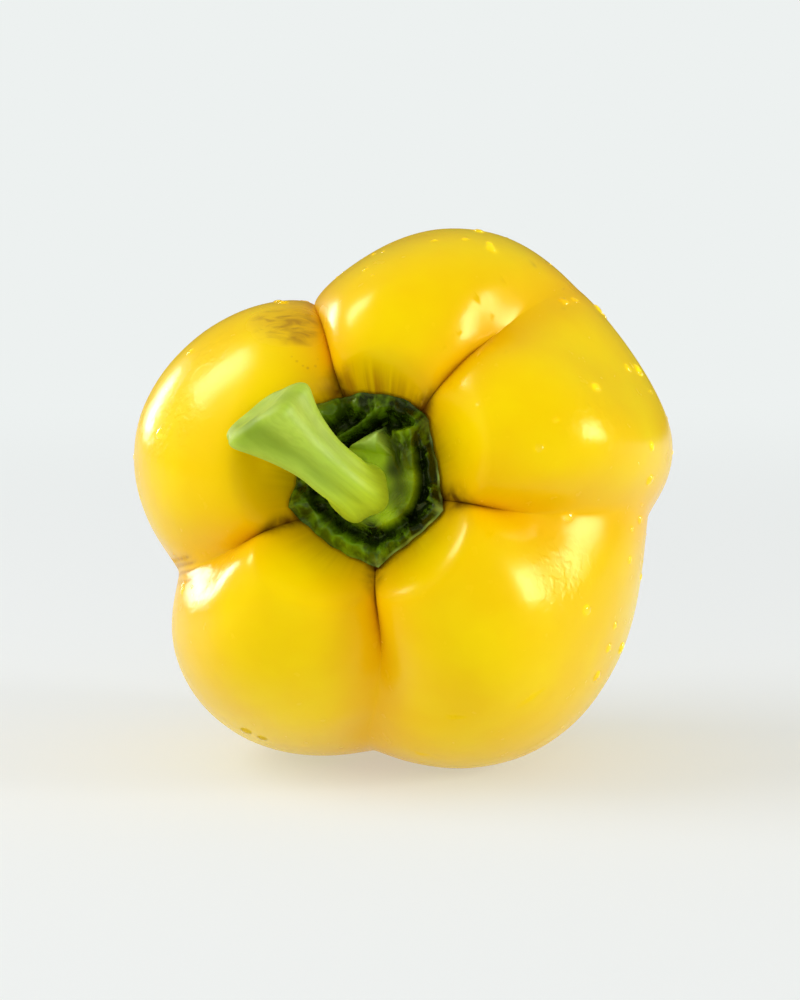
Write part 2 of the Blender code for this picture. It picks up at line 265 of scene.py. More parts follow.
def skinPlace(polar, lobeIndex, across):
    # a point of the skin, the angle round the stem's axis, and how wide the lobe is there
    left = fruit["furrows"][lobeIndex]
    right = fruit["furrows"][(lobeIndex + 1) % 5]
    start = furrowAngle(left, polar)
    stop = furrowAngle(right, polar)
    while stop < start:
        stop += 360.0
    if stop - start > 360.0:
        stop -= 360.0
    around = math.radians(mix(start, stop, (across + 1.0) / 2.0))

    sine = max(math.sin(polar), 0.0)
    cosine = math.cos(polar)
    ease = (1.0 - math.cos(math.pi * (across + 1.0) / 2.0)) / 2.0
    roundness = fruit["stemRoundness"] if cosine > 0.0 else fruit["blossomRoundness"]
    half = fruit["stemHalf"] if cosine > 0.0 else fruit["blossomHalf"]
    radius = mix(left["radius"], right["radius"], ease) * sine**roundness
    height = math.copysign(half * abs(cosine) ** roundness, cosine)
    radius *= 1.0 - fruit["taper"] * smooth(-fruit["taperStart"], -fruit["taperStop"], -height)
    if cosine > 0.0:
        inBasin = (radius / fruit["basinRadius"]) ** fruit["basinSteepness"]
        height -= fruit["basinDepth"] * math.exp(-inBasin)
    else:
        height += fruit["dimpleDepth"] * math.exp(-((radius / fruit["dimpleRadius"]) ** 2))

    swelling = lobeSwelling(fruit["lobes"][lobeIndex], left, right, polar, across)
    waves = math.sin(2.0 * around + 3.0 * polar) + 0.7 * math.sin(5.0 * around - 4.0 * polar)
    swelling += fruit["waveHeight"] * waves * sine**2
    radius += swelling * sine
    point = Vector(
        (
            radius * math.cos(around) + fruit["axisShift"][0] * sine**2,
            radius * math.sin(around) + fruit["axisShift"][1] * sine**2,
            height + swelling * cosine,
        )
    )
    return point, around, math.radians(stop - start) * radius


def skinDetail(point, around, polar, lobeIndex, across, lobeWidth):
    # the small relief of the real skin, and what the skin's material wants to know of a point
    toLeft = (across + 1.0) / 2.0 * lobeWidth
    toRight = lobeWidth - toLeft
    nearLeft = toLeft < toRight
    furrow = fruit["furrows"][lobeIndex if nearLeft else (lobeIndex + 1) % 5]
    away = toLeft if nearLeft else toRight
    wobble = noise.noise(Vector((polar * 9.0, lobeIndex * 7.0, 3.0)))
    # line and valley mark where the skin's material paints shade into the furrows
    strength = 1.0 - smooth(0.75 * furrow["lineTo"], 1.15 * furrow["lineTo"] + 0.1 * wobble, polar)
    line = bump(0.0, fruit["creaseWidth"] * (0.55 + 0.5 * strength), away) * strength
    valley = bump(0.0, fruit["valleyWidth"], away) * (1.0 - smooth(1.4, 2.2, polar))

    radius = math.hypot(point.x, point.y)
    # mouth marks each furrow's mouth by the calyx, painted dark: brown skin and painted shade
    mouth = 1.0 - smooth(*fruit["mouthRim"], radius) if polar < 1.0 else 0.0
    mouth *= bump(0.0, 0.0003 + furrow["mouth"] * mouth, away)
    overTop = bump(90.0, 34.0, math.degrees(around) % 360.0)
    fadeFrom, fadeTo = (at + more * overTop for at, more in zip(fruit["basinRim"], fruit["basinRimOverTop"]))
    basin = (1.0 - smooth(fadeFrom, fadeTo, radius)) * (0.2 + 0.8 * overTop) if polar < 1.0 else 0.0
    relief = 0.0
    for size, height in fruit["dents"]:
        relief += height * noise.noise(point / size)
    shoulder = smooth(0.42, 0.70, polar) * (1.0 - smooth(1.05, 1.45, polar))
    relief -= furrow["dip"] * shoulder * bump(0.0, fruit["dipWidth"], away)
    folds = math.sin(31.0 * around + 2.0 * math.sin(5.0 * around)) + 0.6 * math.sin(53.0 * around)
    relief += fruit["basinFolds"] * folds * basin * smooth(0.006, 0.012, radius)

    # the wide valley left of the stem ends in a few fine wrinkles that run along it
    wrinkle = 0.0
    nearValley = lobeIndex == 3 and nearLeft or lobeIndex == 2 and not nearLeft
    if nearValley and 0.7 < polar < 1.6:
        side = away if lobeIndex == 3 else -away
        drift = 0.0006 * noise.noise(Vector((polar * 6.0, 0.0, 9.0)))
        for at in fruit["wrinkles"]:
            wrinkle += bump(at + drift, fruit["wrinkleWidth"], side)
        wrinkle *= smooth(0.78, 0.92, polar) * (1.0 - smooth(1.2, 1.42, polar))
    relief -= fruit["wrinkleDepth"] * wrinkle
    return relief, line, mouth, valley, basin, min(wrinkle, 1.0)


def makeFruitShape():
    skin, places = sphereGrid(fruit["columns"] * 5, fruit["rows"])
    traits = {"line": [], "mouth": [], "valley": [], "basin": [], "wrinkle": [], "ray": []}
    for vert, row, column in places:
        lobeIndex, step = divmod(column, fruit["columns"])
        polar = math.pi * (row / fruit["rows"]) ** fruit["rowCrowding"]
        across = -math.cos(math.pi * step / fruit["columns"])
        point, around, lobeWidth = skinPlace(polar, lobeIndex, across)
        relief, *found = skinDetail(point, around, polar, lobeIndex, across, lobeWidth)
        vert.co = point + point.normalized() * relief
        for name, value in zip(("line", "mouth", "valley", "basin", "wrinkle"), found):
            traits[name].append(value)
        traits["ray"].append(Vector((math.cos(around), math.sin(around), polar)))
    return skin, traits


fruitShape, fruitTraits = makeFruitShape()
lay = Matrix.Rotation(math.radians(90.0 - fruit["lieTilt"]), 4, "X")
solidLow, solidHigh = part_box("fruit")
laid = [lay @ vert.co for vert in fruitShape.verts]
lieAt = Vector(
    (
        (solidLow.x + solidHigh.x - min(p.x for p in laid) - max(p.x for p in laid)) / 2.0,
        (solidLow.y + solidHigh.y - min(p.y for p in laid) - max(p.y for p in laid)) / 2.0,
        solidHigh.z - max(p.z for p in laid),
    )
)
lieDown = Matrix.Translation(lieAt) @ lay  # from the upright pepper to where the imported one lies
print("fruit shaped, lies at", [round(part * 1000.0, 2) for part in lieAt])

aim = lieAt + Vector((shot["aimRight"], 0.0, shot["aimUp"]))
cameraPlace = aim + backward(shot["azimuth"], shot["elevation"]) * shot["distance"]
facing = (-backward(shot["azimuth"], shot["elevation"])).to_track_quat("-Z", "Y")
camera = bpy.data.objects.new("camera", bpy.data.cameras.new("camera"))
camera.data.lens = shot["lens"]
camera.data.sensor_width = shot["sensor"]
camera.location = cameraPlace
camera.rotation_mode = "QUATERNION"
camera.rotation_quaternion = facing
bpy.context.scene.collection.objects.link(camera)
bpy.context.scene.camera = camera


def throughPixel(across, down):
    # the direction from the camera through a pixel of the photograph
    perPixel = shot["sensor"] / shot["height"] / shot["lens"]
    right = (across - shot["width"] / 2.0) * perPixel
    up = (shot["height"] / 2.0 - down) * perPixel
    return (facing @ Vector((right, up, -1.0))).normalized()


# Calyx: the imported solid's values, then the finer relief
calyx = {
    "at": (0.0012, 0.0),
    "moundAt": (0.0020, 0.0001),
    "moundRadius": 0.0082,
    "moundWidth": 0.90,  # as a share of its height on the face
    "corners": (
        {"angle": 340.0, "reach": 0.0132},
        {"angle": 47.0, "reach": 0.0139},
        {"angle": 129.0, "reach": 0.0156},
        {"angle": 198.0, "reach": 0.0144},
        {"angle": 278.0, "reach": 0.0143},
    ),
    "sideReaches": (0.0110, 0.0144, 0.0126, 0.0124, 0.0117),
    "gap": 0.0004,
    "edgeThickness": 0.0006,
    "floorThickness": 0.0012,
    "moundHeight": 0.0050,
    # the knob: a blunt three-sided peak above the stem's knee, with a slot along its left side
    "knobLeft": (-0.0030, 0.0056),
    "knobTop": (0.0031, 0.0102),
    "knobRight": (0.0051, 0.0040),
    "knobHeight": 0.0036,
    "knobSlopes": (0.0019, 0.0013, 0.0011),  # how far its left, right and lower faces run to the top
    "knobRoundness": 0.14,
    "shoulder": (0.0047, 0.0083, 0.0000, 0.0092),  # x and y from and to of the pleated part
    "lipHeight": 0.0022,
    "lipAt": 0.88,
    "lipWidth": 0.10,
    "ribHeight": 0.0014,
    "ribAt": 0.72,
    "ribWidth": 0.28,
    "slotFrom": (-0.0036, 0.0059),
    "slotTo": (0.0029, 0.0104),
    "slotDepth": 0.0030,
    "slotWidth": 0.00050,
    "foldHeight": 0.0030,
    "foldWidth": 0.00075,
    "foldOff": 0.00135,
    "pleats": ((0.0055, 1.0), (0.0072, 0.6)),  # where, and how deep as a share
    "pleatDepth": 0.0008,
    "pleatWidth": 0.00042,
    "channelAt": 0.71,  # the channel round the mound, painted near black as shade
    "channelWidth": 0.075,
    "wrinkle": 0.00018,
    "grainHeight": 0.00012,
    "grainSize": 0.0011,
    "foldSize": 0.0026,  # the leaf between the mound and the edge is crumpled
    "foldRelief": 0.0009,
    "columns": 48,  # in each side
    "topRows": 96,
    "underRows": 10,
}
# Stem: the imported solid's values, then the finer relief
stem = {
    "footAt": (-0.0004, -0.0018),
    "footLength": 0.0015,
    "bendRadius": 0.0065,
    "bendAngle": 66.0,
    "bendHeading": 141.0,
    "runLength": 0.0156,
    "footRadius": 0.0050,
    "waistRadius": 0.0042,
    "cutRadius": 0.0085,
    "flareFrom": 0.45,
    "ridges": 5,
    "ridgeShare": 0.07,
    "ridgeTurn": 1.75,
    "sunk": 0.0004,  # how far the foot stands in the calyx's mound
    "rimLength": 0.0030,  # the cut's edge has dried round
    "rimShare": 0.55,
    "cutSlant": 0.22,
    "shadedHollow": (2.66, 0.32),  # angle round the stem and width of the olive hollow by the cut, darker rind with painted shade in it
    "hollowDent": 0.0005,
    "faceDish": 0.0004,
    "sides": 72,
    "stations": 120,
    "fibre": 0.003,
    "kneeWrinkle": 0.00001,  # inside of the bend
}


def edgePlace(side, across):
    left = calyx["corners"][side]
    right = calyx["corners"][(side + 1) % 5]
    share = (across + 1.0) / 2.0
    stop = right["angle"] + (360.0 if right["angle"] < left["angle"] else 0.0)
    corner = mix(left["reach"], right["reach"], share)
    return mix(left["angle"], stop, share), mix(calyx["sideReaches"][side], corner, abs(across) ** 2.6)


def alongSlot(x, y):
    # how far along the slot a point is, as a share, and how far to its upper side
    start = Vector(calyx["slotFrom"])
    way = Vector(calyx["slotTo"]) - start
    offset = Vector((x, y)) - start
    return offset.dot(way) / way.length_squared, way.normalized().cross(offset)


def offSide(start, end, x, y):
    # how far a point is to the right of the line from start to end
    run = Vector(end) - Vector(start)
    return (Vector((x, y)) - Vector(start)).cross(run.normalized())


def calyxRelief(share, across, angle, x, y):
    # height of the upper face over the underside, and how much of it is mound, leaf, groove and knob
    spread = noise.noise(Vector((x, y, 0.0)) / 0.004)
    aside = (x - calyx["moundAt"][0]) / calyx["moundWidth"]
    fromMound = math.hypot(aside, y - calyx["moundAt"][1]) / calyx["moundRadius"] + 0.06 * spread
    mound = 1.0 - smooth(0.88, 1.10, fromMound)
    left, right, low, high = calyx["shoulder"]
    boxed = smooth(left - 0.0012, left, x)
    boxed *= 1.0 - smooth(right - 0.0004, right + 0.0010, x - 0.0004 * spread)
    boxed *= smooth(low, low + 0.002, y) * (1.0 - smooth(high - 0.0010, high + 0.0006, y + 0.0005 * spread))
    mound = max(mound, boxed)
    height = calyx["floorThickness"]
    height += calyx["moundHeight"] * mound * (1.10 - 0.40 * min(fromMound, 1.0) ** 2)

    # the knob's three faces: each rises from one of its sides
    offLeft = offSide(calyx["knobLeft"], calyx["knobTop"], x, y)
    offRight = offSide(calyx["knobTop"], calyx["knobRight"], x, y)
    offLow = offSide(calyx["knobRight"], calyx["knobLeft"], x, y)
    roundness = calyx["knobRoundness"]
    faces = [off / slope for off, slope in zip((offLeft, offRight, offLow), calyx["knobSlopes"])] + [1.0]
    face = -roundness * math.log(sum(math.exp(-rise / roundness) for rise in faces))
    knob = max(face + 0.10 * noise.noise(Vector((x, y, 7.0)) / 0.0011), 0.0) ** 0.8
    height += calyx["knobHeight"] * knob * (0.6 + 0.4 * smooth(0.004, 0.010, y))

    # a dark slot runs along the knob's left side, and a fold lies above it
    along, above = alongSlot(x, y)
    within = smooth(-0.14, 0.06, along) * (1.0 - smooth(0.94, 1.14, along))
    slotted = within * bump(0.0, calyx["slotWidth"], above)
    fold = smooth(-0.30, 0.10, along) * (1.0 - smooth(0.90, 1.30, along))
    fold *= bump(calyx["foldOff"], calyx["foldWidth"], above + 0.0004 * spread)
    height += calyx["foldHeight"] * fold
    height -= (calyx["slotDepth"] + 0.4 * calyx["moundHeight"] * mound) * slotted

    # upright pleats on the mound's right shoulder
    pleat = 0.0
    for at, depth in calyx["pleats"]:
        bent = at + 0.0010 * noise.noise(Vector((at * 300.0, y / 0.003, 2.0))) - 0.12 * (y - 0.005)
        pleat += depth * bump(bent, calyx["pleatWidth"], x)
    pleat *= smooth(0.0002, 0.0040, y) * mound * (0.7 + 0.8 * noise.noise(Vector((x, y, 5.0)) / 0.0021))
    pleat = max(pleat, 0.0)
    height -= calyx["pleatDepth"] * pleat

    # a lip near the edge, thickest at lower left, folds and ribs towards the corners, and fine creases
    lowerLeft = bump(238.0, 42.0, angle % 360.0)
    lipAt = calyx["lipAt"] - 0.03 * lowerLeft + 0.07 * spread
    lip = bump(lipAt, calyx["lipWidth"] * (1.0 + 0.5 * lowerLeft + 0.5 * spread), share)
    height += calyx["lipHeight"] * lip * (1.0 + 0.55 * spread + 0.4 * lowerLeft)
    folds = 1.0 - abs(2.0 * noise.noise(Vector((x, y, 2.0)) / calyx["foldSize"]))
    height += calyx["foldRelief"] * max(folds, 0.0) ** 2 * smooth(0.50, 0.72, share) * (1.0 - 0.8 * mound)
    rib = bump(1.0, calyx["ribWidth"], abs(across)) * bump(calyx["ribAt"], 0.16, share)
    height += calyx["ribHeight"] * rib
    around = math.radians(angle)
    creases = math.sin(17.0 * around + 5.0 * share + 3.0 * spread)
    creases += 0.6 * math.sin(29.0 * around + 5.0 * spread)
    creases += 5.0 * noise.noise(Vector((x, y, 4.0)) / 0.0023)
    height += calyx["wrinkle"] * creases * smooth(0.45, 0.7, share)
    height += calyx["grainHeight"] * noise.noise(Vector((x, y, 0.5)) / calyx["grainSize"])

    # how green, light or dark the leaf is: random patches, with painted light on the raised fold, the crests
    # and the lip's lower-left and upper-left sides
    upperLeft = bump(128.0, 18.0, angle % 360.0)
    crest = max(folds, 0.0) ** 3
    leaf = 0.55 * fold + lip * (0.02 + 0.50 * lowerLeft + 0.42 * upperLeft) + 0.25 * spread
    leaf += crest * smooth(0.6, 0.8, share) * (0.25 + 0.3 * lowerLeft)
    # painted shade on the right side, under the lobe that overhangs it
    leaf -= 0.5 * bump(5.0, 50.0, (angle + 180.0) % 360.0 - 180.0)
    channel = bump(calyx["channelAt"], calyx["channelWidth"], share + 0.03 * spread) * (1.0 - mound)
    # painted shade: the slot, the pleats and the channel are painted near black
    deep = max(slotted, 0.45 * pleat, 0.9 * channel * (1.0 - 0.6 * fold))
    # the mound's green fades darker towards its rim: painted shade on its rounded side
    green = mound * (1.0 - 0.35 * boxed) * (0.80 + 0.9 * spread - 0.25 * smooth(0.5, 1.0, fromMound))
    # a painted sheen on the knob's left face, the face that turns towards the light, over a paler knob
    leftFace = knob * (1.0 - smooth(-0.2, 0.5, faces[0] - faces[1]))
    height *= 1.0 - share**10
    return height, min(max(green, 0.0), 1.0), leaf, min(deep, 1.0), max(0.35 * knob, leftFace)


def makeCalyxShape(skinTree):
    rows = calyx["topRows"] + calyx["underRows"]
    shape, places = sphereGrid(calyx["columns"] * 5, rows)
    traits = {"mound": [], "leaf": [], "edge": [], "groove": [], "knob": [], "ray": []}
    for vert, row, column in places:
        side, step = divmod(column, calyx["columns"])
        across = 2.0 * step / calyx["columns"] - 1.0
        angle, reach = edgePlace(side, across)
        onTop = row <= calyx["topRows"]
        share = row / calyx["topRows"] if onTop else (rows - row) / calyx["underRows"]
        turn = math.radians(angle)
        uneven = noise.noise(Vector((math.cos(turn), math.sin(turn), 0.3)) * 3.5)
        reach *= 1.0 + (0.030 * uneven + 0.006 * math.sin(turn * 23.0)) * share**2
        x = calyx["at"][0] + reach * share * math.cos(turn)
        y = calyx["at"][1] + reach * share * math.sin(turn)
        under = skinTree.ray_cast(Vector((x, y, 0.1)), downwards)[0].z + calyx["gap"]
        height, mound, leaf, deep, knob = 0.0, 0.0, 0.0, 0.0, 0.0
        if onTop:
            height, mound, leaf, deep, knob = calyxRelief(share, across, angle, x, y)
            height += calyx["edgeThickness"]
        vert.co = Vector((x, y, under + height))
        tip = bump(1.0, 0.10, abs(across)) * smooth(0.86, 0.97, share)
        traits["mound"].append(mound)
        traits["leaf"].append(leaf)
        traits["knob"].append(knob)
        # the pale dry edge and the corner tips are painted brighter on the side that faces the light
        lit = 0.15 + 0.85 * smooth(0.2, 0.9, math.cos(math.radians(angle + 25.0)))
        thin = lit * smooth(0.955, 0.985, share) * (0.6 + 0.8 * noise.noise(Vector((x, y, 0.0)) / 0.002))
        traits["edge"].append(max(min(thin, 1.0), tip * lit, 0.0))
        traits["groove"].append(deep)
        rayed = smooth(0.35, 0.65, share)
        traits["ray"].append(Vector((rayed * math.cos(turn), rayed * math.sin(turn), share)))
    return shape, traits


calyxShape, calyxTraits = makeCalyxShape(BVHTree.FromBMesh(fruitShape))
print("calyx shaped")


def stemStation(travel):
    # how far out and up the stem's centre is, and how far it has turned
    bend = math.radians(stem["bendAngle"])
    bendLength = stem["bendRadius"] * bend
    turned = min(max((travel - stem["footLength"]) / stem["bendRadius"], 0.0), bend)
    out = stem["bendRadius"] * (1.0 - math.cos(turned))
    up = min(travel, stem["footLength"]) + stem["bendRadius"] * math.sin(turned)
    past = max(travel - stem["footLength"] - bendLength, 0.0)
    return out + past * math.sin(turned), up + past * math.cos(turned), turned


def stemRadius(share):
    foot = (stem["footRadius"] - stem["waistRadius"]) * (1.0 - smooth(0.0, 0.22, share))
    flare = max(0.0, (share - stem["flareFrom"]) / (1.0 - stem["flareFrom"])) ** 1.5
    return stem["waistRadius"] + foot + (stem["cutRadius"] - stem["waistRadius"]) * flare


def makeStemShape(footHeight):
    shape = bmesh.new()
    length = stem["footLength"] + stem["bendRadius"] * math.radians(stem["bendAngle"]) + stem["runLength"]
    heading = math.radians(stem["bendHeading"])
    outWay = Vector((math.cos(heading), math.sin(heading), 0.0))
    upWay = Vector((0.0, 0.0, 1.0))
    sideWay = upWay.cross(outWay)
    foot = Vector((stem["footAt"][0], stem["footAt"][1], footHeight))
    traits = {"hollow": [], "knee": [], "cutFace": [], "grain": []}

    ring = bmesh.ops.create_circle(shape, segments=stem["sides"], radius=1.0)["verts"]
    angles = [math.atan2(vert.co.y, vert.co.x) for vert in ring]

    def place(verts, travel, scale, onFace):
        out, up, turned = stemStation(travel)
        centre = foot + outWay * out + upWay * up
        inward = outWay * math.cos(turned) - upWay * math.sin(turned)
        onward = outWay * math.sin(turned) + upWay * math.cos(turned)
        share = travel / length
        slant = stem["cutSlant"] * smooth(stem["flareFrom"], 1.0, share)
        for vert, angle in zip(verts, angles):
            ridge = math.cos(stem["ridges"] * angle + stem["ridgeTurn"])
            rim = Vector((math.cos(angle), math.sin(angle), 0.0))
            fibre = math.sin(37.0 * angle + 2.0 * noise.noise(rim + upWay * (share * 3.0)))
            ridged = 1.0 + stem["ridgeShare"] * ridge * (0.6 + 0.6 * share) + stem["fibre"] * fibre
            radius = stemRadius(share) * ridged * scale
            crumple = smooth(0.12, 0.25, share) * (1.0 - smooth(0.35, 0.5, share)) * smooth(0.2, -0.6, rim.x)
            radius += stem["kneeWrinkle"] * crumple * math.sin(math.tau * travel / 0.0011)
            radius += 0.0002 * noise.noise(rim * 1.5 + upWay * (share * 5.0))
            sideways = radius * rim.y
            inShadedHollow = bump(stem["shadedHollow"][0], stem["shadedHollow"][1], angle % math.tau)
            vert.co = centre + inward * (radius * rim.x) + sideWay * sideways
            vert.co += onward * (slant * sideways) - inward * (rim.x * stem["hollowDent"] * inShadedHollow)
            # the hollows between the ridges and the dent by the cut: darker olive rind with painted shade
            hollow = 0.3 * max(0.0, -ridge) + inShadedHollow * (0.25 + 0.75 * smooth(0.55, 0.9, share))
            traits["hollow"].append(min(1.0, hollow) * smooth(0.12, 0.4, share) * smooth(0.1, 0.5, scale))
            traits["knee"].append(1.0 - smooth(0.18, 0.50, share))
            traits["cutFace"].append(onFace)
            traits["grain"].append(rim * radius + upWay * (travel * 0.12))

    def extrude(verts):
        rim = set(verts)
        edges = [edge for edge in shape.edges if rim.issuperset(edge.verts)]
        made = bmesh.ops.extrude_edge_only(shape, edges=edges)["geom"]
        fresh = [item for item in made if isinstance(item, bmesh.types.BMVert)]
        return [min(fresh, key=lambda new: (new.co - vert.co).length) for vert in verts]

    place(ring, 0.0, 1.0, 0.0)
    bottom = list(ring)
    bodyLength = length - stem["rimLength"]
    for station in range(1, stem["stations"] + 1):
        ring = extrude(ring)
        place(ring, bodyLength * station / stem["stations"], 1.0, 0.0)
    for step in range(1, 9):  # round over the rim
        turn = math.radians(90.0 * step / 8.0)
        ring = extrude(ring)
        scale = stem["rimShare"] + (1.0 - stem["rimShare"]) * math.cos(turn)
        travel = length - stem["rimLength"] * (1.0 - math.sin(turn) ** 0.8)
        place(ring, travel, scale, smooth(0.2, 0.8, step / 8.0))
    for step in range(1, 13):  # and over the shallow dish of the cut
        share = 1.0 - step / 12.5
        ring = extrude(ring)
        place(ring, length - stem["faceDish"] * (1.0 - share**3), stem["rimShare"] * share, 1.0)
    bmesh.ops.contextual_create(shape, geom=ring)
    bmesh.ops.contextual_create(shape, geom=bottom)
    bmesh.ops.recalc_face_normals(shape, faces=shape.faces)
    return shape, traits


overFoot = Vector((stem["footAt"][0], stem["footAt"][1], 0.1))
footHeight = BVHTree.FromBMesh(calyxShape).ray_cast(overFoot, downwards)[0].z - stem["sunk"]
stemShape, stemTraits = makeStemShape(footHeight)
print("stem shaped")

for shape in (fruitShape, calyxShape, stemShape):
    bmesh.ops.transform(shape, matrix=lieDown, verts=shape.verts)
for vert in fruitShape.verts:  # pressed flat where it rests
    vert.co.z = max(vert.co.z, 0.0)
laidSkin = BVHTree.FromBMesh(fruitShape)

# Marks on the skin, each at a pixel of the photograph and as far round it as its size in metres
marks = {
    "scar": ((289.0, 322.0, 0.0058), (272.0, 318.0, 0.0040), (303.0, 334.0, 0.0030)),
    "freckles": ((308.0, 375.0, 0.0026), (300.0, 352.0, 0.0026)),
    "wet": (
        (563.0, 584.0, 0.0075),
        (168.0, 430.0, 0.0080),
        (205.0, 360.0, 0.0060),
        (212.0, 580.0, 0.0070),
        (590.0, 412.0, 0.0060),
    ),
}
for mark, spots in marks.items():
    found = [laidSkin.ray_cast(cameraPlace, throughPixel(x, y))[0] for x, y, size in spots]
    values = []
    for vert in fruitShape.verts:
        near = [bump(0.0, spot[2], (vert.co - at).length) for at, spot in zip(found, spots)]
        values.append(max(near))
    fruitTraits[mark] = values
print("marks placed")


# Skin of a ripe bell pepper: a smooth waxy cuticle over juicy yellow flesh, grown, not polished.
# The eye gets a clear gloss, a deeper gold painted into the furrows as shade, and brown cork where it has
# torn.
skinLook = {
    "bright": "#f9d600",
    "golden": "#f5cb00",
    "valley": "#f2b400",
    "line": "#d8a414",
    "mouth": "#5a2f05",
    "basin": "#b3720a",
    "crease": "#b06c04",
    "cork": "#a87612",
    "corkPale": "#d2a60c",
    "valleyShare": 0.6,  # how strongly each colour covers the skin
    "lineShare": 0.40,
    "creaseShare": 0.6,
    "corkPaleShare": 0.5,
    "mottle": 0.020,  # sizes of the patterns in metres
    "soft": 0.006,
    "broken": 0.0025,
    "smear": 0.0024,
    "bead": 0.0017,
    "speck": 0.0014,
    "grain": 0.0011,
    "relief": 0.000010,  # height of the grain in metres
    "softHeight": 5.0,  # and of the rest, as so many times the grain's
    "corkHeight": 4.0,
    "beadHeight": 4.5,
    "roughness": 0.25,
    "roughnessSpread": (-0.04, 0.05),
    "corkRoughness": 0.3,  # added on cork
    "sockets": {
        "Coat Weight": 0.05,
        "Coat Roughness": 0.12,
        "IOR": 1.33,
        "Specular Tint": "#ffe070",  # the wax is faintly yellow itself
        "Subsurface Weight": 0.10,
        "Subsurface Radius": (1.0, 0.6, 0.1),
        "Subsurface Scale": 0.003,
    },
}


